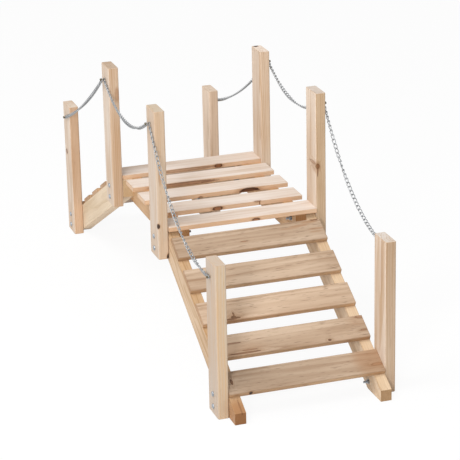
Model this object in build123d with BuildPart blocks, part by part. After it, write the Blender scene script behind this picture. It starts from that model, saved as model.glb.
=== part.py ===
from build123d import *
from math import asinh, cos, hypot, radians, sin, sinh, sqrt, tan
import os

# Small wooden garden footbridge: a level deck, a ramp at each end, eight upright
# posts and a hanging chain on each side. All sizes are in millimetres.
# +Y runs along the bridge from the near end to the far end, +X to the right.

# Boards and slats
slat_length = 400
slat_width = 70
slat_thickness = 12
slat_gap = 41
board_thickness = 28
board_depth = 66
post_width = 72
post_height = 392
post_edge_radius = 4
eased_edge = 1

# Deck
deck_top = 326
deck_slat_count = 5
rail_set_back = 7
deck_post_inset = 6
deck_post_drop = 8

# Ramps
ramp_angle = 28
ramp_gap = 16
ramp_top_drop = 22
ramp_slat_count = 5
toe_height = 29
toe_reach = 43

# Bolts, two through the foot of each post
bolt_diameter = 6
bolt_clearance = 0.2
bolt_low = 21
bolt_spacing = 32
bolt_head_diameter = 13
bolt_head_height = 3.5
nut_across_flats = 10
nut_height = 5
bolt_tail = 9

# Chains and the screws that hold them
link_wire = 2.4
link_inner_length = 13.8
link_inner_width = 5.1
link_corner = 2.6
link_slack = 0.5
link_twist = 40
near_chain_spare = 0.045
deck_chain_spare = 0.045
far_left_chain_spare = 0.0025
far_right_chain_spare = 0.006
screw_drop = 38
screw_diameter = 3
screw_depth = 20
screw_head_diameter = 7
screw_head_height = 2.2
chain_clearance = 0.2

# Sizes worked out from the ones above
slat_pitch = slat_width + slat_gap
post_inner = slat_length / 2
post_outer = post_inner + board_thickness
rail_outer = post_inner - board_thickness
rail_inner = rail_outer - board_thickness
rail_top = deck_top - slat_thickness
rail_bottom = rail_top - board_depth
deck_end = ((deck_slat_count - 1) * slat_pitch + slat_width) / 2
rail_end = deck_end - rail_set_back
deck_post_at = deck_end - deck_post_inset - post_width / 2
deck_post_foot = rail_bottom - deck_post_drop

slope = radians(ramp_angle)
ramp_top = deck_top - ramp_top_drop
ramp_top_at = deck_end + ramp_gap
stringer_seat = ramp_top - slat_thickness / cos(slope)
stringer_plumb = board_depth / cos(slope)
toe_at = ramp_top_at + (stringer_seat - toe_height) / tan(slope)
heel_at = toe_at - (stringer_plumb - toe_height) / tan(slope)
stringer_end_at = deck_post_at - post_width / 2
end_post_at = toe_at - toe_reach - post_width / 2

link_pitch = link_inner_length - link_slack
link_half_length = link_inner_length / 2 + link_wire
link_half_width = link_inner_width / 2 + link_wire
shoulder_turn = radians(link_twist * (1 - link_corner / link_half_length))
band_half = link_half_width * sin(shoulder_turn) + link_wire / 2 * cos(shoulder_turn)
hook = link_inner_length / 2 - screw_diameter / 2 - chain_clearance
inner_chain_x = post_outer + band_half + chain_clearance
outer_chain_x = inner_chain_x + 1.5 * band_half

SIDES = {"left": -1, "right": 1}
ENDS = {"near": -1, "far": 1}
POSTS = {
    "near_end": (-end_post_at, 0),
    "near_deck": (-deck_post_at, deck_post_foot),
    "far_deck": (deck_post_at, deck_post_foot),
    "far_end": (end_post_at, 0),
}


def bolt_places(y, foot):
    """Centres of a post's two bolts, as (y, z)."""
    return [(y, foot + bolt_low), (y, foot + bolt_low + bolt_spacing)]


def bolt_holes(places):
    """Circles at bolt places, in the plane that the bolts run square to."""
    with BuildSketch(Plane.YZ) as holes:
        with Locations(*places):
            Circle(bolt_diameter / 2 + bolt_clearance)
    return holes.sketch


def finish(part, name):
    """Label a finished piece and write it to its own file."""
    part.label = name
    export_step(part, f"parts/{name}.step")


os.makedirs("parts", exist_ok=True)

# Posts: planks set with their wide face outward
for post_name, (post_y, foot) in POSTS.items():
    for side_name, side in SIDES.items():
        outer_face = Plane.YZ.offset(side * post_outer)
        screw_z = foot + post_height - screw_drop
        with BuildPart() as post:
            with BuildSketch(outer_face):
                with Locations((post_y, foot + post_height / 2)):
                    Rectangle(post_width, post_height)
            extrude(amount=-side * board_thickness)
            fillet(post.edges().filter_by(Axis.Z), post_edge_radius)
            for end_face in post.faces().sort_by(Axis.Z)[:: len(post.faces()) - 1]:
                chamfer(end_face.edges(), eased_edge)
            holes = bolt_holes(bolt_places(post_y, foot))
            extrude(holes, amount=post_outer, both=True, mode=Mode.SUBTRACT)
            with BuildSketch(outer_face):
                with Locations((post_y, screw_z)):
                    Circle(screw_diameter / 2 + chain_clearance / 2)
            extrude(amount=-side * (screw_depth + 1), mode=Mode.SUBTRACT)
        finish(post.part, f"post_{post_name}_{side_name}")

# Deck: slats across two rails that stand on edge between the stringers
for number in range(deck_slat_count):
    slat_y = (number - (deck_slat_count - 1) / 2) * slat_pitch
    with BuildPart() as deck_slat:
        with BuildSketch(Plane.XY.offset(rail_top)):
            with Locations((0, slat_y)):
                Rectangle(slat_length, slat_width)
        extrude(amount=slat_thickness)
        chamfer(deck_slat.edges().filter_by(Axis.X).group_by(Axis.Z)[-1], eased_edge)
    finish(deck_slat.part, f"deck_slat_{number + 1}")

deck_bolts = []
for end in ENDS.values():
    deck_bolts += bolt_places(end * deck_post_at, deck_post_foot)

for side_name, side in SIDES.items():
    with BuildPart() as rail:
        with BuildSketch(Plane.YZ.offset(side * rail_outer)):
            with Locations((0, (rail_top + rail_bottom) / 2)):
                Rectangle(2 * rail_end, board_depth)
        extrude(amount=-side * board_thickness)
        extrude(bolt_holes(deck_bolts), amount=post_outer, both=True, mode=Mode.SUBTRACT)
    finish(rail.part, f"deck_rail_{side_name}")


def ramp_plane(end):
    """Top of a ramp's slats, with local +Y running down the slope."""
    return Plane(
        origin=(0, end * ramp_top_at, ramp_top),
        x_dir=(end, 0, 0),
        z_dir=(0, end * sin(slope), cos(slope)),
    )


def stringer_outline(end):
    """Side view of a ramp stringer, as (y, z) points from its toe."""
    level_cut_at = ramp_top_at - (rail_top - stringer_seat) / tan(slope)
    end_rise = (ramp_top_at - stringer_end_at) * tan(slope)
    end_bottom = stringer_seat + end_rise - stringer_plumb
    return [
        (end * toe_at, 0),
        (end * toe_at, toe_height),
        (end * level_cut_at, rail_top),
        (end * stringer_end_at, rail_top),
        (end * stringer_end_at, end_bottom),
        (end * heel_at, 0),
    ]


# Ramps: sloping stringers against the posts' inner faces, with slats on top
for end_name, end in ENDS.items():
    for side_name, side in SIDES.items():
        with BuildPart() as stringer:
            with BuildSketch(Plane.YZ.offset(side * post_inner)):
                with BuildLine():
                    Polyline(*stringer_outline(end), close=True)
                make_face()
            extrude(amount=-side * board_thickness)
            places = bolt_places(end * end_post_at, 0)
            places += bolt_places(end * deck_post_at, deck_post_foot)
            extrude(bolt_holes(places), amount=post_outer, both=True, mode=Mode.SUBTRACT)
        finish(stringer.part, f"stringer_{end_name}_{side_name}")

    for number in range(ramp_slat_count):
        with BuildPart() as ramp_slat:
            with BuildSketch(ramp_plane(end).offset(-slat_thickness)):
                with Locations((0, number * slat_pitch + slat_width / 2)):
                    Rectangle(slat_length, slat_width)
            extrude(amount=slat_thickness)
            top = ramp_slat.faces().sort_by(Axis((0, 0, 0), ramp_plane(end).z_dir))[-1]
            chamfer(top.edges().filter_by(Axis.X), eased_edge)
        finish(ramp_slat.part, f"{end_name}_ramp_slat_{number + 1}")

# Bolts: a domed head outside, a nut inside, and the thread's end past the nut
for post_name, (post_y, foot) in POSTS.items():
    inner_face = rail_inner if foot else rail_outer
    for side_name, side in SIDES.items():
        with BuildPart() as bolts:
            for _, bolt_z in bolt_places(post_y, foot):
                nut_plane = Plane(
                    origin=(side * inner_face, post_y, bolt_z),
                    x_dir=(0, 1, 0),
                    z_dir=(-side, 0, 0),
                )
                shank = post_outer - inner_face
                with BuildSketch(nut_plane.offset(-shank)):
                    Circle(bolt_diameter / 2)
                extrude(amount=shank + nut_height + bolt_tail)
                with BuildSketch(nut_plane.offset(-shank)):
                    Circle(bolt_head_diameter / 2)
                extrude(amount=-bolt_head_height, taper=35)
                with BuildSketch(nut_plane):
                    RegularPolygon(nut_across_flats / 2, 6, major_radius=False)
                    Circle(bolt_diameter / 2 + bolt_clearance / 2, mode=Mode.SUBTRACT)
                extrude(amount=nut_height)
        finish(bolts.part, f"bolts_{post_name}_{side_name}")

# Screws: one in each post's outer face, with the chain's links on its shank
for side_name, side in SIDES.items():
    with BuildPart() as screws:
        for post_y, foot in POSTS.values():
            chain_x = outer_chain_x if foot else inner_chain_x
            reach = chain_x + band_half + chain_clearance - post_outer
            face = Plane(
                origin=(side * post_outer, post_y, foot + post_height - screw_drop),
                x_dir=(0, 1, 0),
                z_dir=(side, 0, 0),
            )
            with BuildSketch(face.offset(-screw_depth)):
                Circle(screw_diameter / 2)
            extrude(amount=screw_depth + reach)
            with BuildSketch(face.offset(reach)):
                Circle(screw_head_diameter / 2)
            extrude(amount=screw_head_height, taper=30)
    finish(screws.part, f"chain_screws_{side_name}")


def link_outline(half_length, half_width, corner):
    """Corner points of a long rectangle with cut corners."""
    quarter = [(half_length, half_width - corner), (half_length - corner, half_width)]
    right_left = quarter + [(-x, y) for x, y in reversed(quarter)]
    return right_left + [(-x, -y) for x, y in right_left]


# Chain link: a flat ring of square section, so that two hundred of them stay light
with BuildPart() as flat_link:
    with BuildSketch(Plane.XY.offset(-link_wire / 2)):
        with BuildLine():
            outline = link_outline(link_half_length, link_half_width, link_corner)
            Polyline(*outline, close=True)
        make_face()
        Rectangle(link_inner_length, link_inner_width, mode=Mode.SUBTRACT)
    extrude(amount=link_wire)


def twisted(corner):
    """Where a corner of the flat link goes when its two ends are turned apart."""
    turn = radians(link_twist) * corner.X / link_half_length
    across = corner.Y * cos(turn) - corner.Z * sin(turn)
    through = corner.Y * sin(turn) + corner.Z * cos(turn)
    return Vector(corner.X, across, through)


# The ends of a curb chain's link are twisted apart, so that the chain lies as a band
corners, triangles = flat_link.part.tessellate(1)
facets = [[twisted(corners[index]) for index in triangle] for triangle in triangles]
link = Solid(Shell([Face(Wire.make_polygon(facet)) for facet in facets]))


def hanging_curve(start, end, length):
    """A catenary of a given length between two (y, z) points, by arc length."""
    span = end[0] - start[0]
    rise = end[1] - start[1]
    pull = sqrt(length**2 - rise**2)
    low, high = span / 50, span * 50
    for _ in range(80):
        middle = (low + high) / 2
        if 2 * middle * sinh(span / (2 * middle)) > pull:
            low = middle
        else:
            high = middle
    scale = high
    lowest = (start[0] + end[0]) / 2 - scale * asinh(rise / (2 * scale * sinh(span / (2 * scale))))
    arc_start = scale * sinh((start[0] - lowest) / scale)

    def at(arc):
        tangent = (arc + arc_start) / scale
        y = lowest + scale * asinh(tangent)
        height = scale * (sqrt(1 + tangent**2) - sqrt(1 + (arc_start / scale) ** 2))
        steep = sqrt(1 + tangent**2)
        return y, start[1] + height, 1 / steep, tangent / steep

    return at


def band_turn(share, rests, whole):
    """Degrees that a chain's band has turned at a share of its span."""
    marks = [(0, 0), *rests, (1, whole)]
    for (start, low), (stop, high) in zip(marks, marks[1:]):
        if share <= stop:
            return low + (high - low) * (share - start) / (stop - start)


def link_places(start, end, spare, half_turns, rests):
    """A place for each link between two screws, whose end links lie flat there."""
    length = hypot(end[1] - start[1], end[2] - start[2]) * (1 + spare)
    gaps = round((length - 2 * hook) / link_pitch)
    curve = hanging_curve(start[1:], end[1:], length)
    places = []
    for number in range(gaps + 1):
        share = number / gaps
        x = start[0] + (end[0] - start[0]) * share
        y, z, along_y, along_z = curve(hook + share * (length - 2 * hook))
        roll = radians(band_turn(share, rests, 180 * half_turns))
        places.append(
            Plane(
                origin=(x, y, z),
                x_dir=(0, along_y, along_z),
                z_dir=(cos(roll), -sin(roll) * along_z, sin(roll) * along_y),
            )
        )
    return places


def hanger(post_name, side, leaving):
    """Where a span hangs on a post's screw. Two spans share a deck post's screw."""
    post_y, foot = POSTS[post_name]
    chain_x = outer_chain_x if foot and leaving * side < 0 else inner_chain_x
    return side * chain_x, post_y, foot + post_height - screw_drop


# Chains: each span's posts, its spare length, the half turns that its band makes, and
# the degrees it has turned at shares of its way. It lies flat where it crosses a post.
SPANS = {
    ("near", "left"): (near_chain_spare, 3, [(0.065, 0), (0.9, 540)]),
    ("near", "right"): (
        near_chain_spare,
        2,
        [(0.065, 0), (0.25, 105), (0.56, 125), (0.85, 345), (0.935, 360)],
    ),
    ("deck", "left"): (deck_chain_spare, 1, [(0.08, 0), (0.37, 130), (0.62, 180)]),
    ("deck", "right"): (
        deck_chain_spare,
        1,
        [(0.08, 0), (0.2, 40), (0.5, 60), (0.65, 130), (0.8, 180)],
    ),
    ("far", "left"): (far_left_chain_spare, 1, [(0.065, 0), (0.93, 180)]),
    ("far", "right"): (
        far_right_chain_spare,
        1,
        [(0.1, 0), (0.28, 100), (0.75, 110), (0.93, 180)],
    ),
}
SPAN_POSTS = {
    "near": ("near_end", "near_deck"),
    "deck": ("near_deck", "far_deck"),
    "far": ("far_deck", "far_end"),
}
for (span_name, side_name), (spare, half_turns, rests) in SPANS.items():
    start_post, end_post = SPAN_POSTS[span_name]
    start = hanger(start_post, SIDES[side_name], 1)
    end = hanger(end_post, SIDES[side_name], -1)
    places = link_places(start, end, spare, half_turns, rests)
    links = [link.moved(place.location) for place in places]
    finish(Compound(children=links), f"chain_{span_name}_{side_name}")
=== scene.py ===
# Small wooden garden footbridge: planed fir boards, zinc plated bolts and chains.
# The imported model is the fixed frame. Each section below dresses one kind of piece,
# in the order in which the bridge is put together.
import math

import bpy
import numpy as np
from mathutils import Matrix, Vector


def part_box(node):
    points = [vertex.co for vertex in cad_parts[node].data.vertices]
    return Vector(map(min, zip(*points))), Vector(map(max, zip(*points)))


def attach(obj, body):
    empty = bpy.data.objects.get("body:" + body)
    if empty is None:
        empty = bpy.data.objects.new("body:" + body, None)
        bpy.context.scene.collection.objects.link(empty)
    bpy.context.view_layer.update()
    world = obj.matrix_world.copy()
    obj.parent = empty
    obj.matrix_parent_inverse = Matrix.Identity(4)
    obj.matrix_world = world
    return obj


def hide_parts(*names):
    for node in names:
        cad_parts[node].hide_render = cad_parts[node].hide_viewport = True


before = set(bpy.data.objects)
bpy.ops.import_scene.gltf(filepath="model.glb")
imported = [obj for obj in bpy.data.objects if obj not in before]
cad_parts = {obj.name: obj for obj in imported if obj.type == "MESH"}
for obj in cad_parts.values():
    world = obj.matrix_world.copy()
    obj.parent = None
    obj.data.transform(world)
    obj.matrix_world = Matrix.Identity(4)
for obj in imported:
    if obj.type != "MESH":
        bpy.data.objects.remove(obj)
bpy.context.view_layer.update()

# Camera
# A long lens from the near left, looking down at the deck, as the photograph was taken.
camera_place = Vector((-1.5851, -5.0300, 2.1393))
camera_aim = Vector((0.0455, 0.0, 0.1989))
camera_roll = math.radians(-1.25)
bpy.ops.object.camera_add(location=camera_place)
camera = bpy.context.object
camera.name = "photo_camera"
camera.data.lens = 163.4
camera.data.sensor_width = 36.0
camera.rotation_mode = "QUATERNION"
look = (camera_aim - camera_place).to_track_quat("-Z", "Y")
camera.rotation_quaternion = look @ Matrix.Rotation(camera_roll, 3, "Z").to_quaternion()
bpy.context.scene.camera = camera


# Ramp stringers
# Four sloping boards of planed fir on edge, inside the posts, cut level where they stand
# on the ground and level again under the deck slats. Their finish comes first, because
# every board of the bridge is made of this fir.
def add_node(tree, kind, **settings):
    """A shader node with its settings made."""
    node = tree.nodes.new(kind)
    for name, value in settings.items():
        setattr(node, name, value)
    return node


def plug(tree, socket, value):
    """Link a socket to an input, or set the input to a plain value."""
    if isinstance(value, bpy.types.NodeSocket):
        tree.links.new(value, socket)
    else:
        socket.default_value = value


def sum_up(tree, operation, first, second=0.0, third=0.0):
    """One step of arithmetic on numbers."""
    node = add_node(tree, "ShaderNodeMath", operation=operation)
    for socket, value in zip(node.inputs, (first, second, third)):
        plug(tree, socket, value)
    return node.outputs[0]


def vector_sum(tree, operation, first, second):
    """One step of arithmetic on vectors."""
    node = add_node(tree, "ShaderNodeVectorMath", operation=operation)
    plug(tree, node.inputs[0], first)
    plug(tree, node.inputs[1], second)
    return node.outputs["Value" if operation in ("LENGTH", "DOT_PRODUCT") else "Vector"]


def ramp_over(tree, value, low, high, to_low=0.0, to_high=1.0):
    """A soft step of a value from one level to another."""
    node = add_node(tree, "ShaderNodeMapRange", interpolation_type="SMOOTHSTEP")
    for socket, number in zip(node.inputs, (value, low, high, to_low, to_high)):
        plug(tree, socket, number)
    return node.outputs[0]


def cloud(tree, place, stretch, detail=2.0):
    """Noise from 0 to 1, with its own number of waves to the metre along each axis."""
    node = add_node(tree, "ShaderNodeTexNoise")
    plug(tree, node.inputs["Vector"], vector_sum(tree, "MULTIPLY", place, stretch))
    node.inputs["Scale"].default_value = 1.0
    node.inputs["Detail"].default_value = detail
    return node.outputs["Fac"]


def blend_colour(tree, share, first, second, way="MIX"):
    """Mix two colours by a share, or tint the first by the second with MULTIPLY."""
    node = add_node(tree, "ShaderNodeMix", data_type="RGBA", blend_type=way)
    plug(tree, node.inputs["Factor"], share)
    plug(tree, node.inputs["A"], first)
    plug(tree, node.inputs["B"], second)
    return node.outputs["Result"]


def new_group(name, inputs, outputs):
    """A shader node group with named inputs and outputs."""
    group = bpy.data.node_groups.new(name, "ShaderNodeTree")
    for title, kind in inputs.items():
        group.interface.new_socket(title, in_out="INPUT", socket_type="NodeSocket" + kind)
    for title, kind in outputs.items():
        group.interface.new_socket(title, in_out="OUTPUT", socket_type="NodeSocket" + kind)
    given = group.nodes.new("NodeGroupInput").outputs
    result = group.nodes.new("NodeGroupOutput").inputs
    return group, given, result


# Growth rings round the log's heart, fine fibre, soft streaks and short dark dashes of
# resin. A ring darkens slowly through its early wood and stops short after its late wood.
late_wood = 0.93
faintest_ring = 0.25
streak_share = 0.9
fibre_share = 0.45
patch_share = 1.2
tone_level = 1.02
resin_share = 0.62
resin_brown = (0.07, 0.03, 0.012, 1.0)
fir_figure, given, result = new_group(
    "fir_figure",
    {
        "Place": "Vector",
        "Seed": "Vector",
        "Heart": "Vector",
        "Ring Width": "Float",
        "Pale": "Color",
        "Dark": "Color",
        "Figure": "Float",
        "Streaks": "Float",
        "Wander": "Float",
        "Swirl": "Float",
    },
    {"Colour": "Color", "Relief": "Float"},
)
seeded = vector_sum(fir_figure, "ADD", given["Place"], given["Seed"])
from_heart = vector_sum(fir_figure, "SUBTRACT", given["Place"], given["Heart"])
across = vector_sum(fir_figure, "MULTIPLY", from_heart, (0.03, 1.0, 1.0))
wander = cloud(fir_figure, seeded, (2.6, 16.0, 16.0))
radius = vector_sum(fir_figure, "LENGTH", across, (0.0, 0.0, 0.0))
radius = sum_up(fir_figure, "MULTIPLY_ADD", wander, given["Wander"], radius)
radius = sum_up(fir_figure, "ADD", radius, given["Swirl"])
ring_count = sum_up(fir_figure, "DIVIDE", radius, given["Ring Width"])
within_ring = sum_up(fir_figure, "FRACT", ring_count)
early = ramp_over(fir_figure, within_ring, 0.25, late_wood)
late = ramp_over(fir_figure, within_ring, late_wood, 1.0, 1.0, 0.0)
ring = sum_up(fir_figure, "MULTIPLY", early, late)
ring_number = add_node(fir_figure, "ShaderNodeTexWhiteNoise", noise_dimensions="1D")
plug(fir_figure, ring_number.inputs["W"], sum_up(fir_figure, "FLOOR", ring_count))
ring_depth = sum_up(
    fir_figure, "MULTIPLY_ADD", ring_number.outputs["Value"], 1 - faintest_ring, faintest_ring
)
ring = sum_up(fir_figure, "MULTIPLY", ring, ring_depth)
fibre = cloud(fir_figure, seeded, (14.0, 900.0, 900.0), 3.0)
streak = cloud(fir_figure, seeded, (3.4, 95.0, 95.0), 3.0)
patch = cloud(fir_figure, seeded, (5.0, 14.0, 14.0), 1.0)
dash = ramp_over(fir_figure, cloud(fir_figure, seeded, (34.0, 520.0, 520.0), 1.0), 0.63, 0.75)
dash = sum_up(fir_figure, "MULTIPLY", dash, given["Streaks"])
tone = sum_up(fir_figure, "MULTIPLY", ring, given["Figure"])
tone = sum_up(fir_figure, "MULTIPLY_ADD", streak, streak_share, tone)
tone = sum_up(fir_figure, "MULTIPLY_ADD", fibre, fibre_share, tone)
tone = sum_up(fir_figure, "MULTIPLY_ADD", patch, patch_share, tone)
tone = sum_up(fir_figure, "SUBTRACT", tone, tone_level)
tone_held = add_node(fir_figure, "ShaderNodeClamp")
plug(fir_figure, tone_held.inputs["Value"], tone)
grain = blend_colour(fir_figure, tone_held.outputs[0], given["Pale"], given["Dark"])
resin = blend_colour(fir_figure, resin_share, given["Dark"], resin_brown)
plug(fir_figure, result["Colour"], blend_colour(fir_figure, dash, grain, resin))
relief = sum_up(fir_figure, "MULTIPLY_ADD", fibre, 0.5, ring)
plug(fir_figure, result["Relief"], sum_up(fir_figure, "SUBTRACT", relief, dash))

# A knot: a hard heart with its own rings, a dark bark rim, a brown halo, and grain that
# bends round it. Its reach is 0 in its middle and 1 at its rim.
ragged_depth = 0.36
eye_rings = 18.0
eye_share = 0.16
bend_share = 0.8
bend_reach = 4.0
fir_knot, given, result = new_group(
    "fir_knot",
    {"Place": "Vector", "Centre": "Vector", "Spread": "Vector", "Strength": "Float"},
    {"Heart": "Float", "Rim": "Float", "Halo": "Float", "Swirl": "Float"},
)
offset = vector_sum(fir_knot, "SUBTRACT", given["Place"], given["Centre"])
ragged = cloud(fir_knot, given["Place"], (230.0, 230.0, 230.0))
offset = vector_sum(fir_knot, "DIVIDE", offset, given["Spread"])
reach = vector_sum(fir_knot, "LENGTH", offset, (0.0, 0.0, 0.0))
reach = sum_up(fir_knot, "MULTIPLY_ADD", ragged, ragged_depth, reach)
reach = sum_up(fir_knot, "SUBTRACT", reach, ragged_depth / 2)
heart_mask = ramp_over(fir_knot, reach, 0.92, 1.08, 1.0, 0.0)
plug(fir_knot, result["Heart"], sum_up(fir_knot, "MULTIPLY", heart_mask, given["Strength"]))
rim_mask = ramp_over(fir_knot, reach, 0.62, 0.92)
rim_mask = sum_up(fir_knot, "MULTIPLY", rim_mask, ramp_over(fir_knot, reach, 1.0, 1.15, 1.0, 0.0))
eye = sum_up(fir_knot, "SINE", sum_up(fir_knot, "MULTIPLY", reach, eye_rings))
eye = sum_up(fir_knot, "MULTIPLY", eye, heart_mask)
rim_mask = sum_up(fir_knot, "MULTIPLY_ADD", eye, eye_share, rim_mask)
plug(fir_knot, result["Rim"], sum_up(fir_knot, "MULTIPLY", rim_mask, given["Strength"]))
halo = ramp_over(fir_knot, reach, 0.9, 1.9, 1.0, 0.0)
plug(fir_knot, result["Halo"], sum_up(fir_knot, "MULTIPLY", halo, given["Strength"]))
spread_parts = add_node(fir_knot, "ShaderNodeSeparateXYZ")
plug(fir_knot, spread_parts.inputs[0], given["Spread"])
bend = ramp_over(fir_knot, reach, 0.0, bend_reach, bend_share, 0.0)
bend = sum_up(fir_knot, "MULTIPLY", bend, spread_parts.outputs[1])
plug(fir_knot, result["Swirl"], bend)

# Arris wear and shade: the arrises of a planed board, a little darker and rubbed, partly
# wear and partly painted shade of their rounding. Of a point's distances from the board's
# three pairs of faces, the middle one is that of an arris.
arris_wear_and_shade, given, result = new_group(
    "arris_wear_and_shade",
    {"Place": "Vector", "Half Size": "Vector", "Width": "Float"},
    {"Edge": "Float"},
)
from_middle = vector_sum(arris_wear_and_shade, "ABSOLUTE", given["Place"], (0.0, 0.0, 0.0))
inside = vector_sum(arris_wear_and_shade, "SUBTRACT", given["Half Size"], from_middle)
inside_parts = add_node(arris_wear_and_shade, "ShaderNodeSeparateXYZ")
plug(arris_wear_and_shade, inside_parts.inputs[0], inside)
gap_x, gap_y, gap_z = inside_parts.outputs
nearest = sum_up(arris_wear_and_shade, "MINIMUM", sum_up(arris_wear_and_shade, "MINIMUM", gap_x, gap_y), gap_z)
farthest = sum_up(arris_wear_and_shade, "MAXIMUM", sum_up(arris_wear_and_shade, "MAXIMUM", gap_x, gap_y), gap_z)
middle = sum_up(arris_wear_and_shade, "ADD", sum_up(arris_wear_and_shade, "ADD", gap_x, gap_y), gap_z)
middle = sum_up(arris_wear_and_shade, "SUBTRACT", sum_up(arris_wear_and_shade, "SUBTRACT", middle, nearest), farthest)
rub = cloud(arris_wear_and_shade, given["Place"], (70.0, 70.0, 70.0), 3.0)
middle = sum_up(arris_wear_and_shade, "DIVIDE", middle, sum_up(arris_wear_and_shade, "MULTIPLY", rub, given["Width"]))
plug(arris_wear_and_shade, result["Edge"], ramp_over(arris_wear_and_shade, middle, 0.4, 2.4, 1.0, 0.0))

# Which faces of a board look along one of its directions: its cut ends, or its edges.
board_face, given, result = new_group(
    "board_face",
    {"Normal": "Vector", "Direction": "Vector"},
    {"Facing": "Float"},
)
facing = vector_sum(board_face, "DOT_PRODUCT", given["Normal"], given["Direction"])
facing = sum_up(board_face, "ABSOLUTE", facing)
plug(board_face, result["Facing"], ramp_over(board_face, facing, 0.7, 0.9))

halo_share = 0.55
knot_halo = (0.360, 0.185, 0.085, 1.0)
knot_heart = (0.300, 0.140, 0.066, 1.0)
knot_hole = (0.020, 0.010, 0.006, 1.0)
knot_rim = (0.060, 0.024, 0.012, 1.0)
arris_darkening_share = 0.45
arris_band_width = 0.0022
planed_roughness = 0.56
sawn_roughness = 0.20
relief_roughness = 0.10
grain_depth = 0.0006


def group_node(tree, group, **given_values):
    """Place a node group, with its inputs by name."""
    node = add_node(tree, "ShaderNodeGroup", node_tree=group)
    for name, value in given_values.items():
        plug(tree, node.inputs[name.replace("_", " ")], value)
    return node


def fir(
    name, centre, along, face, size, heart, tones, figure=0.6, rings=0.0042, streaks=0.35,
    wander=0.03, knots=(),
):
    """Planed fir for one board. Its own axes are its length, width and thickness.

    heart is the log's middle in those axes. tones are the pale wood, the late wood, and
    the tints of the long edges and of the cut ends; on the deck slats, ramp slats and posts
    the long edges' tint is painted light and shade, and on the posts the cut ends' tint is
    partly painted light on their tops. Each knot is a place, a spread, a strength, and how
    far it is a black hole, or None for a brown stain without a knot.
    Places and spreads are in metres, from the board's middle.
    """
    material = bpy.data.materials.new("fir_" + name)
    material.use_nodes = True
    tree = material.node_tree
    shader = tree.nodes["Principled BSDF"]
    pale, dark, edge_tint, end_tint = tones
    across = Vector(face).cross(Vector(along))
    turn = Matrix((along, across, face)).transposed().to_euler()
    surface = add_node(tree, "ShaderNodeTexCoord")
    own_axes = add_node(tree, "ShaderNodeMapping", vector_type="TEXTURE")
    own_axes.inputs["Location"].default_value = centre
    own_axes.inputs["Rotation"].default_value = turn
    plug(tree, own_axes.inputs["Vector"], surface.outputs["Object"])
    place = own_axes.outputs["Vector"]

    swirl = 0.0
    knot_nodes = []
    for knot_place, spread, strength, hole in knots:
        knot = group_node(
            tree, fir_knot, Place=place, Centre=knot_place, Spread=spread, Strength=strength
        )
        if hole is not None:
            swirl = sum_up(tree, "ADD", knot.outputs["Swirl"], swirl)
        knot_nodes.append((knot.outputs, hole))

    seed = (7.3 * centre[0] + 3.1 * centre[2], 11.7 * centre[1], 5.9 * centre[2] + centre[0])
    wood = group_node(
        tree,
        fir_figure,
        Place=place,
        Seed=seed,
        Heart=heart,
        Ring_Width=rings,
        Pale=pale,
        Dark=dark,
        Figure=figure,
        Streaks=streaks,
        Wander=wander,
        Swirl=swirl,
    )
    colour, relief = wood.outputs["Colour"], wood.outputs["Relief"]
    for knot, hole in knot_nodes:
        halo_here = sum_up(tree, "MULTIPLY", knot["Halo"], halo_share)
        colour = blend_colour(tree, halo_here, colour, knot_halo)
        if hole is None:
            continue
        heart_colour = tuple(
            brown + hole * (black - brown) for brown, black in zip(knot_heart, knot_hole)
        )
        colour = blend_colour(tree, knot["Heart"], colour, heart_colour)
        colour = blend_colour(tree, knot["Rim"], colour, knot_rim)
        relief = sum_up(tree, "SUBTRACT", relief, knot["Rim"])
    half_size = tuple(length / 2 for length in size)
    # Darker arrises: partly wear, partly painted shade of their rounding.
    edge = group_node(tree, arris_wear_and_shade, Place=place, Half_Size=half_size, Width=arris_band_width)
    edge = sum_up(tree, "MULTIPLY", edge.outputs["Edge"], arris_darkening_share)
    colour = blend_colour(tree, edge, colour, dark)
    normal = surface.outputs["Normal"]
    # Long edges: on the deck slats, ramp slats and posts a tint of painted light and shade.
    on_edge = group_node(tree, board_face, Normal=normal, Direction=across).outputs["Facing"]
    colour = blend_colour(tree, on_edge, colour, edge_tint, "MULTIPLY")
    # Cut ends: end grain, and on the posts' tops partly painted light.
    on_end = group_node(tree, board_face, Normal=normal, Direction=along).outputs["Facing"]
    colour = blend_colour(tree, on_end, colour, end_tint, "MULTIPLY")
    plug(tree, shader.inputs["Base Color"], colour)
    roughness = sum_up(tree, "MULTIPLY_ADD", relief, relief_roughness, planed_roughness)
    roughness = sum_up(tree, "MULTIPLY_ADD", on_end, sawn_roughness, roughness)
    plug(tree, shader.inputs["Roughness"], roughness)
    shader.inputs["Specular IOR Level"].default_value = 0.32
    bump = add_node(tree, "ShaderNodeBump")
    bump.inputs["Strength"].default_value = 0.35
    bump.inputs["Distance"].default_value = grain_depth
    plug(tree, bump.inputs["Height"], relief)
    plug(tree, shader.inputs["Normal"], bump.outputs["Normal"])
    return material


def middle_of(node):
    """The centre of a node's box."""
    low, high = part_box(node)
    return (Vector(low) + Vector(high)) / 2


def dress(node, along, face, size, centre=None, **figure_and_tones):
    """Give a carried-over board its fir, about its box's centre or the one given."""
    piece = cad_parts[node]
    piece.data.materials.clear()
    centre = centre or middle_of(node)
    piece.data.materials.append(fir(node, centre, along, face, size, **figure_and_tones))


board_thick = 0.028
board_deep = 0.066
ramp_slope = math.radians(28)
stringer_toe = 0.029
stringer_length = 0.66

stringer_tones = (
    (0.64, 0.475, 0.325, 1.0),
    (0.42, 0.255, 0.125, 1.0),
    (1.0, 0.93, 0.82, 1.0),
    (0.66, 0.54, 0.40, 1.0),
)

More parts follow.
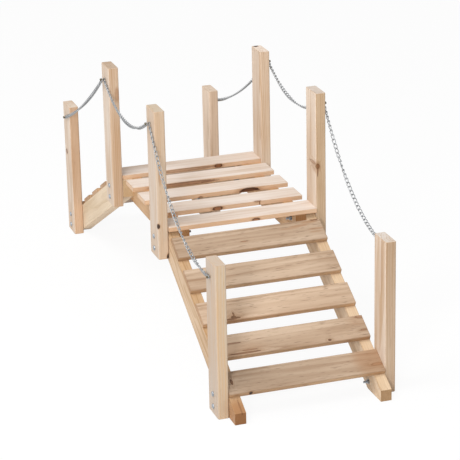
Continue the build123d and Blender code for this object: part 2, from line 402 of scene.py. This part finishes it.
# Two of the four boards are paler than the rest, and of quieter figure.
pale_stringers = {
    "stringer_far_left": (
        (0.76, 0.62, 0.46, 1.0),
        (0.58, 0.43, 0.27, 1.0),
        (0.98, 0.95, 0.92, 1.0),
        (0.75, 0.65, 0.52, 1.0),
    ),
    "stringer_near_right": (
        (0.72, 0.555, 0.395, 1.0),
        (0.48, 0.315, 0.175, 1.0),
        (1.05, 1.02, 0.96, 1.0),
        (0.54, 0.43, 0.31, 1.0),
    ),
}
# The near left toe is dark all over, which three stains over each other make.
stringer_knots = {
    "stringer_near_left": [
        ((0.320, 0.0, 0.0), (0.036, 0.060, 0.040), 1.0, None),
        ((0.325, 0.0, 0.0), (0.040, 0.060, 0.040), 1.0, None),
        ((0.330, 0.0, 0.0), (0.034, 0.060, 0.040), 1.0, None),
        ((0.300, -0.033, 0.004), (0.024, 0.006, 0.0016), 0.45, 0.3),
    ],
    "stringer_far_left": [((0.318, -0.030, -0.014), (0.005, 0.008, 0.005), 0.8, 0.2)],
}

for end_name, end in (("near", -1), ("far", 1)):
    for side_name, side in (("left", -1), ("right", 1)):
        node = f"stringer_{end_name}_{side_name}"
        low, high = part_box(node)
        from_toe = (high[1] - low[1]) / 2
        toe_middle = stringer_toe - board_deep / math.cos(ramp_slope) / 2
        board_middle = middle_of(node)
        board_middle.z = toe_middle + from_toe * math.tan(ramp_slope)
        dress(
            node,
            along=(0.0, end * math.cos(ramp_slope), -math.sin(ramp_slope)),
            face=(1.0, 0.0, 0.0),
            size=(stringer_length, board_deep, board_thick),
            centre=board_middle,
            heart=(0.1 * side, 0.015 * end, -0.11 - 0.02 * side),
            tones=pale_stringers.get(node, stringer_tones),
            figure=0.35 if node in pale_stringers else 0.6,
            rings=0.0052,
            knots=stringer_knots.get(node, ()),
        )

# Deck rails
# Two level boards on edge that carry the deck slats. They lie inside the stringers'
# upper ends, and the deck posts' bolts go through both.
rail_tones = (
    (0.61, 0.405, 0.235, 1.0),
    (0.40, 0.215, 0.095, 1.0),
    (0.95, 0.90, 0.82, 1.0),
    (0.75, 0.60, 0.45, 1.0),
)
for side_name, side in (("left", -1), ("right", 1)):
    node = f"deck_rail_{side_name}"
    low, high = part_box(node)
    dress(
        node,
        along=(0.0, 1.0, 0.0),
        face=(1.0, 0.0, 0.0),
        size=(high[1] - low[1], board_deep, board_thick),
        heart=(0.05, 0.02 * side, -0.09),
        tones=rail_tones,
        rings=0.0048,
    )

# Posts
# Eight planks with rounded long edges, their wide faces outward, each bolted to a
# stringer. Knots are given in the post's own axes: up, across and through it.
post_size = (0.392, 0.072, 0.028)
post_pale = Vector((0.735, 0.615, 0.510, 1.0))
post_dark = (0.52, 0.355, 0.225, 1.0)

# Each post is sawn from another board, and each also gets painted light and shade: its
# wide faces' lightness, partly its board's tone and partly painted light and shade for how
# much light reaches that post; its narrow faces' tint, painted shade and light on the
# faces turned to the front; and its top's tint, partly paler end grain and partly painted
# light on the top.
post_tones_and_light = {
    "post_near_end_left": (0.68, (0.76, 0.72, 0.63), (0.76, 0.76, 0.75)),
    "post_near_end_right": (0.97, (0.75, 0.67, 0.57), (1.03, 1.13, 1.26)),
    "post_near_deck_left": (0.80, (0.83, 0.78, 0.70), (0.80, 0.83, 0.81)),
    "post_near_deck_right": (1.0, (0.80, 0.70, 0.55), (0.93, 0.97, 1.03)),
    "post_far_deck_left": (0.91, (0.82, 0.72, 0.61), (0.73, 0.68, 0.62)),
    "post_far_deck_right": (1.0, (1.06, 1.02, 0.96), (1.25, 1.32, 1.42)),
    "post_far_end_left": (1.0, (0.87, 0.72, 0.58), (1.08, 1.10, 1.12)),
    "post_far_end_right": (1.3, (1.12, 1.04, 0.96), (1.22, 1.22, 1.22)),
}
post_knots = {
    "post_near_end_right": [((0.128, 0.012, -0.014), (0.045, 0.006, 0.003), 0.6, None)],
    "post_near_deck_left": [
        ((0.030, 0.036, -0.004), (0.020, 0.006, 0.0030), 0.9, None),
        ((-0.1056, 0.036, -0.0125), (0.0062, 0.006, 0.0046), 1.0, 1.0),
        ((-0.190, 0.034, 0.013), (0.008, 0.008, 0.005), 0.95, 1.0),
    ],
    "post_near_deck_right": [
        ((0.0015, 0.036, -0.009), (0.0068, 0.008, 0.0048), 0.9, 0.2),
        ((0.008, 0.014, -0.014), (0.0040, 0.020, 0.004), 0.38, 0.0),
        ((-0.014, 0.036, -0.009), (0.012, 0.004, 0.0014), 0.6, 0.3),
        ((0.0, 0.034, -0.012), (0.012, 0.020, 0.008), 0.7, None),
    ],
    "post_far_deck_left": [((0.122, 0.036, 0.008), (0.014, 0.006, 0.0050), 1.0, None)],
    "post_far_deck_right": [((0.198, -0.034, -0.003), (0.008, 0.010, 0.0066), 1.0, 1.0)],
    "post_far_end_left": [((0.049, -0.0134, -0.014), (0.0068, 0.0075, 0.008), 0.85, 0.1)],
}
for number, post_name in enumerate(("near_end", "near_deck", "far_deck", "far_end")):
    for side_name, side in (("left", -1), ("right", 1)):
        node = f"post_{post_name}_{side_name}"
        # Painted light and shade per post: wide faces' lightness, narrow faces' tint, top's tint.
        lightness, edge_tint, top_tint = post_tones_and_light[node]
        pale = post_pale * lightness
        edge_tint = (*(Vector(edge_tint) / lightness), 1.0)
        top_tint = (*(Vector(top_tint) / lightness), 1.0)
        heart_across = 0.012 * side + 0.01 * number
        dress(
            node,
            along=(0.0, 0.0, 1.0),
            face=(1.0, 0.0, 0.0),
            size=post_size,
            heart=(-0.3 + 0.2 * number, heart_across, 0.055 - 0.16 * (number % 2)),
            tones=(pale, post_dark, edge_tint, top_tint),
            rings=0.0058 - 0.0005 * number,
            streaks=0.2,
            wander=0.022,
            knots=post_knots.get(node, ()),
        )

# Deck slats
# Five planed slats across the rails, pale on top, with painted shade making their long edges darker
# and browner.
slat_size = (0.400, 0.070, 0.012)
deck_tones_and_shade = (
    (0.83, 0.725, 0.645, 1.0),
    (0.60, 0.43, 0.30, 1.0),
    # Long edges' tint: painted shade on the slats' front and back edges.
    (0.93, 0.74, 0.555, 1.0),
    (0.85, 0.72, 0.58, 1.0),
)
deck_knots = {
    1: [((0.033, -0.037, -0.004), (0.0105, 0.006, 0.0055), 0.85, 0.0)],
    2: [
        ((-0.034, -0.037, -0.001), (0.014, 0.006, 0.0062), 0.85, 0.0),
        ((0.076, -0.036, 0.006), (0.009, 0.005, 0.0035), 0.6, 0.0),
        ((0.0815, -0.037, -0.002), (0.0016, 0.004, 0.007), 0.7, 0.0),
    ],
    3: [
        ((0.091, -0.038, -0.006), (0.029, 0.008, 0.0122), 1.0, 0.6),
        ((-0.046, -0.036, -0.005), (0.006, 0.004, 0.0028), 0.8, 0.6),
    ],
    4: [((-0.060, -0.038, -0.001), (0.105, 0.006, 0.0062), 0.5, 0.0)],
    5: [
        ((0.0765, -0.037, 0.000), (0.0115, 0.006, 0.0062), 1.0, 0.2),
        ((-0.020, -0.038, 0.000), (0.095, 0.006, 0.0050), 0.35, 0.0),
    ],
}
for number in range(1, 6):
    node = f"deck_slat_{number}"
    dress(
        node,
        along=(1.0, 0.0, 0.0),
        face=(0.0, 0.0, 1.0),
        size=slat_size,
        heart=(0.3 - 0.1 * number, 0.02 - 0.008 * number, -0.045 - 0.012 * (number % 3)),
        tones=deck_tones_and_shade,
        figure=0.4,
        rings=0.0036,
        streaks=0.12,
        wander=0.016,
        knots=deck_knots.get(number, ()),
    )

# Ramp slats
# Five slats of the same stock across the stringers' upper edges of each ramp, a little
# browner and with more short dark streaks. Their wood is also painted darker than the
# deck's as painted shade for their slope, and their long edges carry painted shade.
# Each is cut from wood of its own lightness.
# Ramp wood darker than the deck's: partly browner wood, partly painted shade.
ramp_pale_shaded = Vector((0.590, 0.440, 0.315, 1.0))
ramp_dark_shaded = Vector((0.315, 0.190, 0.108, 1.0))
# Long edges' tint: painted shade.
ramp_edge_shade = (0.98, 0.86, 0.70, 1.0)
ramp_end_tint = (0.90, 0.80, 0.70, 1.0)
ramp_lightness = {1: 0.93, 2: 1.02, 3: 1.10, 4: 0.98, 5: 0.90}
ramp_knots = {
    ("near", 1): [
        ((0.112, 0.013, 0.006), (0.020, 0.0022, 0.006), 0.8, None),
        ((0.140, 0.0185, 0.006), (0.018, 0.0026, 0.006), 1.0, None),
        ((0.168, 0.0265, 0.006), (0.016, 0.0032, 0.006), 1.0, None),
        ((0.184, 0.033, 0.006), (0.010, 0.0030, 0.006), 0.8, 0.2),
        ((0.182, 0.002, 0.006), (0.016, 0.0024, 0.006), 0.9, None),
        ((0.176, -0.008, 0.006), (0.012, 0.0020, 0.006), 0.7, None),
        ((-0.018, -0.009, 0.006), (0.010, 0.0016, 0.006), 0.60, 0.0),
    ],
    ("near", 3): [
        ((-0.119, -0.027, 0.006), (0.0070, 0.0060, 0.008), 1.0, 1.0),
        ((-0.110, -0.028, 0.006), (0.0080, 0.0024, 0.006), 0.9, 0.8),
        ((-0.129, -0.031, 0.006), (0.0100, 0.0030, 0.006), 0.95, 0.8),
        ((-0.117, -0.016, 0.006), (0.0022, 0.0060, 0.006), 0.8, 0.7),
        ((-0.118, -0.026, 0.006), (0.026, 0.010, 0.010), 0.55, None),
        ((-0.060, -0.036, 0.006), (0.100, 0.0035, 0.006), 0.6, None),
    ],
    ("near", 4): [
        ((0.095, -0.028, 0.006), (0.0042, 0.0030, 0.006), 0.95, 0.5),
        ((-0.125, -0.028, 0.006), (0.040, 0.0026, 0.006), 0.75, 0.5),
        ((-0.110, -0.021, 0.006), (0.020, 0.0018, 0.006), 0.6, 0.3),
        ((-0.145, 0.006, 0.006), (0.020, 0.0020, 0.006), 0.65, 0.3),
        ((0.199, 0.030, 0.006), (0.018, 0.006, 0.006), 0.45, 0.0),
        ((0.190, -0.012, 0.006), (0.008, 0.0025, 0.006), 0.45, 0.1),
        ((-0.140, -0.020, 0.006), (0.050, 0.014, 0.010), 0.45, None),
        ((0.198, 0.020, 0.006), (0.030, 0.012, 0.010), 0.55, None),
    ],
    ("near", 5): [
        ((-0.146, -0.036, 0.002), (0.0045, 0.003, 0.006), 1.0, 1.0),
        ((-0.184, 0.002, 0.006), (0.0030, 0.0080, 0.005), 0.8, 0.5),
        ((0.186, -0.011, 0.006), (0.016, 0.0045, 0.006), 0.50, 0.0),
        ((0.178, 0.006, 0.006), (0.032, 0.040, 0.010), 0.85, None),
    ],
    ("far", 2): [((0.110, 0.012, 0.004), (0.010, 0.007, 0.008), 0.80, 0.1)],
    ("far", 4): [((-0.070, -0.036, 0.0), (0.012, 0.006, 0.006), 0.80, 0.0)],
}
for end_name, end in (("near", -1), ("far", 1)):
    for number in range(1, 6):
        node = f"{end_name}_ramp_slat_{number}"
        pale, dark = ramp_pale_shaded * ramp_lightness[number], ramp_dark_shaded * ramp_lightness[number]
        dress(
            node,
            along=(1.0, 0.0, 0.0),
            face=(0.0, end * math.sin(ramp_slope), math.cos(ramp_slope)),
            size=slat_size,
            heart=(0.25 - 0.11 * number, 0.016 * end, -0.14 - 0.02 * (number % 2)),
            tones=(pale, dark, ramp_edge_shade, ramp_end_tint),
            figure=0.42,
            rings=0.0030,
            streaks=0.85,
            wander=0.008,
            knots=ramp_knots.get((end_name, number), ()),
        )


# Bolts
# Zinc plated steel coach bolts with domed heads, two through the foot of each post,
# with a washer and a nut inside and the thread's end standing out of the nut.
def loose_parts(node):
    """Corner points of each separate solid of a node, from a merged copy.

    The copy loses the node's own notes, so that it doesn't count as a piece.
    """
    bpy.ops.object.select_all(action="DESELECT")
    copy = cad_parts[node].copy()
    copy.data = copy.data.copy()
    bpy.context.collection.objects.link(copy)
    copy.parent = None
    for note in list(copy.keys()):
        del copy[note]
    bpy.context.view_layer.objects.active = copy
    copy.select_set(True)
    bpy.ops.object.mode_set(mode="EDIT")
    bpy.ops.mesh.select_all(action="SELECT")
    bpy.ops.mesh.remove_doubles(threshold=0.00002)
    bpy.ops.mesh.separate(type="LOOSE")
    bpy.ops.object.mode_set(mode="OBJECT")
    parts = []
    for part in list(bpy.context.selected_objects):
        parts.append(np.array([tuple(vertex.co) for vertex in part.data.vertices]))
        bpy.data.objects.remove(part)
    return parts


spangle_shade = 0.72
dull_share = 0.35
dull_roughness = 0.22
dull_grey = (0.30, 0.29, 0.27, 1.0)


def zinc(name, tint, roughness):
    """Plated steel: bright metal of a tint with a soft spangle and dull spots."""
    material = bpy.data.materials.new(name)
    material.use_nodes = True
    tree = material.node_tree
    shader = tree.nodes["Principled BSDF"]
    place = add_node(tree, "ShaderNodeTexCoord").outputs["Object"]
    spangle = cloud(tree, place, (420.0, 420.0, 420.0))
    dull = ramp_over(tree, cloud(tree, place, (900.0, 900.0, 900.0), 3.0), 0.45, 0.7)
    shaded = (*(spangle_shade * Vector(tint[:3])), 1.0)
    colour = blend_colour(tree, spangle, tint, shaded)
    colour = blend_colour(tree, sum_up(tree, "MULTIPLY", dull, dull_share), colour, dull_grey)
    plug(tree, shader.inputs["Base Color"], colour)
    duller = sum_up(tree, "MULTIPLY_ADD", dull, dull_roughness, roughness)
    plug(tree, shader.inputs["Roughness"], duller)
    shader.inputs["Metallic"].default_value = 0.92
    return material


def join_as(name, pieces, material, round_below=35):
    """Join copies into one named piece with its place in its mesh."""
    bpy.ops.object.select_all(action="DESELECT")
    for piece in pieces:
        piece.select_set(True)
    bpy.context.view_layer.objects.active = pieces[0]
    bpy.ops.object.join()
    whole = bpy.context.object
    whole.name = name
    bpy.ops.object.transform_apply(location=True, rotation=True, scale=True)
    whole.data.materials.clear()
    whole.data.materials.append(material)
    bpy.ops.object.shade_smooth_by_angle(angle=math.radians(round_below))
    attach(whole, "root")
    return whole


def placed_copy(model, place):
    """A copy with its own mesh, moved to its place."""
    copy = model.copy()
    copy.data = model.data.copy()
    copy.data.transform(place)
    bpy.context.collection.objects.link(copy)
    return copy


def disc(corners, radius, height, rounding, segments, profile=0.5, outer_rim_only=False):
    """A disc along Z with all its edges bevelled, or the rim of its upper face alone."""
    bpy.ops.object.select_all(action="DESELECT")
    bpy.ops.mesh.primitive_cylinder_add(vertices=corners, radius=radius, depth=height)
    turned = bpy.context.object
    bpy.ops.object.mode_set(mode="EDIT")
    bpy.ops.mesh.select_all(action="DESELECT")
    bpy.ops.object.mode_set(mode="OBJECT")
    for edge in turned.data.edges:
        upper = all(turned.data.vertices[v].co.z > 0 for v in edge.vertices)
        edge.select = upper or not outer_rim_only
    bpy.ops.object.mode_set(mode="EDIT")
    bpy.ops.mesh.bevel(offset=rounding, segments=segments, profile=profile)
    bpy.ops.object.mode_set(mode="OBJECT")
    return turned


point_share = 0.15


def threaded_rod(corners, radius, pitch, turns, swell, point=0.0):
    """A rod up from Z = 0 whose rings swell at each half pitch, with or without a point."""
    bpy.ops.object.select_all(action="DESELECT")
    bpy.ops.mesh.primitive_circle_add(vertices=corners, radius=radius, fill_type="NGON")
    rod = bpy.context.object
    bpy.ops.object.mode_set(mode="EDIT")
    for turn in range(turns):
        for share in (swell, 1 / swell):
            bpy.ops.mesh.extrude_region_move(TRANSFORM_OT_translate={"value": (0, 0, pitch / 2)})
            bpy.ops.transform.resize(value=(share, share, 1.0))
    if point:
        bpy.ops.mesh.extrude_region_move(TRANSFORM_OT_translate={"value": (0, 0, point)})
        bpy.ops.transform.resize(value=(point_share, point_share, 1.0))
    bpy.ops.object.mode_set(mode="OBJECT")
    return rod


def point_outward(model, lift=0.0, way=1):
    """Turn a model made along Z to point along X, after lifting it onto its foot."""
    turn = Matrix.Rotation(way * math.radians(90), 4, "Y")
    model.data.transform(turn @ Matrix.Translation((0, 0, lift)))


bolt_radius = 0.003
head_radius = 0.0065
head_height = 0.0035
nut_height = 0.005
nut_radius = 0.00577
washer_radius = 0.0068
washer_thick = 0.0009
thread_pitch = 0.001
thread_turns = 15
thread_depth = 0.0004
thread_start = -0.001
bolt_zinc = zinc("zinc_bolts", (0.40, 0.43, 0.47, 1.0), 0.24)

head = disc(28, head_radius, head_height, head_height * 0.92, 5, profile=0.55, outer_rim_only=True)
point_outward(head, head_height / 2)
nut = disc(6, nut_radius, nut_height, rounding=0.0005, segments=2)
point_outward(nut, nut_height / 2)
washer = disc(28, washer_radius, washer_thick, rounding=0.0002, segments=1)
point_outward(washer, washer_thick / 2)
thread = threaded_rod(14, bolt_radius - thread_depth, thread_pitch, thread_turns, swell=1.15)
point_outward(thread)

# A pair's shanks are told from its nuts by their length. Each nut stops at an angle of
# its own, and each thread starts a millimetre inside the wood.
for post_name in ("near_end", "near_deck", "far_deck", "far_end"):
    for side_name, side in (("left", -1), ("right", 1)):
        node = f"bolts_{post_name}_{side_name}"
        outward = Matrix.Identity(4) if side > 0 else Matrix.Rotation(math.pi, 4, "Z")
        inward = outward @ Matrix.Rotation(math.pi, 4, "Z")
        low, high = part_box(f"post_{post_name}_{side_name}")
        outer_face = high[0] if side > 0 else low[0]
        pieces = []
        for part in loose_parts(node):
            low_point, high_point = part.min(axis=0), part.max(axis=0)
            bolt_y, bolt_z = (low_point + high_point)[1:] / 2
            if high_point[0] - low_point[0] > 2 * nut_height:
                at_head = Matrix.Translation((outer_face, bolt_y, bolt_z)) @ outward
                pieces.append(placed_copy(head, at_head))
            else:
                inner_face = low_point[0] if side < 0 else high_point[0]
                at_nut = Matrix.Translation((inner_face, bolt_y, bolt_z)) @ inward
                on_washer = Matrix.Translation((washer_thick, 0, 0))
                stopped_at = Matrix.Rotation(17 * bolt_z, 4, "X")
                pieces.append(placed_copy(washer, at_nut))
                pieces.append(placed_copy(nut, at_nut @ on_washer @ stopped_at))
                pieces.append(placed_copy(thread, at_nut @ Matrix.Translation((thread_start, 0, 0))))
        bolts = join_as(f"zinc_{node}", pieces, bolt_zinc)
        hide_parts(node)
for model in (head, nut, washer, thread):
    bpy.data.objects.remove(model)

# Chain screws
# One yellow-plated pan head screw in each post's outer face. The chain hangs on the
# screw's thread, held on by the head.
screw_plate = zinc("brassed_screws", (0.155, 0.12, 0.058, 1.0), 0.42)
pan_radius = 0.0035
pan_height = 0.0022
recess_size = (0.0030, 0.0007, 0.0016)
screw_radius = 0.0015
screw_pitch = 0.0013
screw_turns = 16

# Pan head with a cross recess, cut by two thin blocks
pan = disc(24, pan_radius, pan_height, rounding=0.0012, segments=4, outer_rim_only=True)
for turn in (0, 90):
    bpy.ops.mesh.primitive_cube_add(size=1.0, location=(0, 0, pan_height / 2))
    cutter = bpy.context.object
    cutter.scale = recess_size
    cutter.rotation_euler = (0, 0, math.radians(turn))
    bpy.context.view_layer.objects.active = pan
    cut = pan.modifiers.new("recess", "BOOLEAN")
    cut.object = cutter
    cut.operation = "DIFFERENCE"
    bpy.ops.object.modifier_apply(modifier="recess")
    bpy.data.objects.remove(cutter)
point_outward(pan, pan_height / 2)

# Threaded shank, inward from the head to its point
screw_thread = threaded_rod(
    12, screw_radius, screw_pitch, screw_turns, swell=0.8, point=screw_pitch
)
point_outward(screw_thread, way=-1)

for side_name, side in (("left", -1), ("right", 1)):
    node = f"chain_screws_{side_name}"
    outward = Matrix.Identity(4) if side > 0 else Matrix.Rotation(math.pi, 4, "Z")
    pieces = []
    for part in loose_parts(node):
        low_point, high_point = part.min(axis=0), part.max(axis=0)
        screw_y, screw_z = (low_point + high_point)[1:] / 2
        tip = high_point[0] - pan_height if side > 0 else low_point[0] + pan_height
        stopped_at = Matrix.Rotation(23 * screw_y, 4, "X")
        at_head = Matrix.Translation((tip, screw_y, screw_z)) @ outward
        pieces.append(placed_copy(pan, at_head @ stopped_at))
        pieces.append(placed_copy(screw_thread, at_head))
    screws = join_as(f"brassed_{node}", pieces, screw_plate)
    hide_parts(node)
for model in (pan, screw_thread):
    bpy.data.objects.remove(model)

# Chains
# Zinc plated curb chain: welded links of round wire, each twisted so that the chain
# lies as a flat band. It hangs free between the posts. One link is modelled and copied
# onto each link of the frame.
chain_zinc = zinc("zinc_chain", (0.43, 0.445, 0.46, 1.0), 0.29)
wire_radius = 0.0012
link_half_length = 0.0093
link_half_width = 0.00495
link_twist = math.radians(80)

# A ring with ten bends of six-sided wire, drawn out to a link with straight sides. The
# ring is widest at its bends at 72 degrees.
bpy.ops.object.select_all(action="DESELECT")
bend_radius = (link_half_width - wire_radius) / math.sin(math.radians(72))
bpy.ops.mesh.primitive_torus_add(
    major_segments=10,
    minor_segments=6,
    major_radius=bend_radius,
    minor_radius=wire_radius,
)
link = bpy.context.object
drawn_out = link_half_length - wire_radius - bend_radius
for end in (-1, 1):
    bpy.ops.object.mode_set(mode="EDIT")
    bpy.ops.mesh.select_mode(type="VERT")
    bpy.ops.mesh.select_all(action="DESELECT")
    bpy.ops.object.mode_set(mode="OBJECT")
    for vertex in link.data.vertices:
        vertex.select = vertex.co.x * end > 0
    bpy.ops.object.mode_set(mode="EDIT")
    bpy.ops.transform.translate(value=(end * drawn_out, 0, 0))
    bpy.ops.object.mode_set(mode="OBJECT")

# The straight sides get one more section, so that the twist runs through them
bpy.ops.object.mode_set(mode="EDIT")
bpy.ops.mesh.select_mode(type="EDGE")
bpy.ops.mesh.select_all(action="DESELECT")
bpy.ops.object.mode_set(mode="OBJECT")
for edge in link.data.edges:
    first, second = (link.data.vertices[v].co.x for v in edge.vertices)
    edge.select = first * second < 0
bpy.ops.object.mode_set(mode="EDIT")
bpy.ops.mesh.subdivide(number_cuts=1)
bpy.ops.object.mode_set(mode="OBJECT")
twisting = link.modifiers.new("twist", "SIMPLE_DEFORM")
twisting.deform_method = "TWIST"
twisting.deform_axis = "X"
twisting.angle = link_twist
bpy.ops.object.modifier_apply(modifier="twist")


def own_axes_of(points):
    """A link's place, from the spread of its corner points."""
    centre = points.mean(axis=0)
    _, _, axes = np.linalg.svd(points - centre)
    long_axis, wide_axis = Vector(axes[0]), Vector(axes[1])
    turn = Matrix((long_axis, wide_axis, long_axis.cross(wide_axis))).transposed()
    return Matrix.Translation(centre) @ turn.to_4x4()


for span_name in ("near", "deck", "far"):
    for side_name in ("left", "right"):
        node = f"chain_{span_name}_{side_name}"
        links = [placed_copy(link, own_axes_of(points)) for points in loose_parts(node)]
        chain = join_as(f"zinc_{node}", links, chain_zinc, round_below=70)
        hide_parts(node)
bpy.data.objects.remove(link)

# Studio
# A plain floor that the camera sees as white with the bridge's soft shadow on it, a large
# soft lamp over the left side, a smaller one at the front left, and an even pale world.
bpy.ops.mesh.primitive_plane_add(size=60.0, location=(0.0, 0.0, 0.0))
floor = bpy.context.object
floor.name = "studio_floor"
floor_glow = 0.92
world_light = 0.55
floor_paint = bpy.data.materials.new("studio_floor")
floor_paint.use_nodes = True
floor_tree = floor_paint.node_tree
floor_shader = floor_tree.nodes["Principled BSDF"]
floor_shader.inputs["Base Color"].default_value = (0.95, 0.95, 0.95, 1.0)
floor_shader.inputs["Roughness"].default_value = 0.9


def seen_directly(tree):
    """1 for what the camera sees, also in gloss or through glass, and 0 for light."""
    path = add_node(tree, "ShaderNodeLightPath")
    seen = sum_up(tree, "MAXIMUM", path.outputs["Is Camera Ray"], path.outputs["Is Glossy Ray"])
    return sum_up(tree, "MAXIMUM", seen, path.outputs["Is Transmission Ray"])


white = add_node(floor_tree, "ShaderNodeEmission")
shown = add_node(floor_tree, "ShaderNodeMixShader")
glow_share = sum_up(floor_tree, "MULTIPLY", seen_directly(floor_tree), floor_glow)
plug(floor_tree, shown.inputs[0], glow_share)
plug(floor_tree, shown.inputs[1], floor_shader.outputs[0])
plug(floor_tree, shown.inputs[2], white.outputs[0])
plug(floor_tree, floor_tree.nodes["Material Output"].inputs["Surface"], shown.outputs[0])
floor.data.materials.append(floor_paint)

world = bpy.context.scene.world or bpy.data.worlds.new("studio")
bpy.context.scene.world = world
world.use_nodes = True
world_tree = world.node_tree
sky = world_tree.nodes["Background"]
sky.inputs["Color"].default_value = (1.0, 1.0, 1.0, 1.0)
seen_in_full = seen_directly(world_tree)
strength = sum_up(world_tree, "MULTIPLY_ADD", seen_in_full, 1 - world_light, world_light)
plug(world_tree, sky.inputs["Strength"], strength)


bridge_middle = Vector((0.0, 0.0, 0.2))


def soft_lamp(name, place, size, power):
    """A square lamp turned to the bridge."""
    bpy.ops.object.light_add(type="AREA", location=place)
    lamp = bpy.context.object
    lamp.name = name
    lamp.data.size = size
    lamp.data.energy = power
    lamp.rotation_euler = (bridge_middle - Vector(place)).to_track_quat("-Z", "Y").to_euler()


soft_lamp("top_lamp", (-2.0, -0.8, 3.7), size=2.0, power=84.0)
soft_lamp("front_lamp", (-2.5, -4.4, 2.3), size=0.9, power=100.0)
bpy.context.scene.view_settings.view_transform = "Standard"
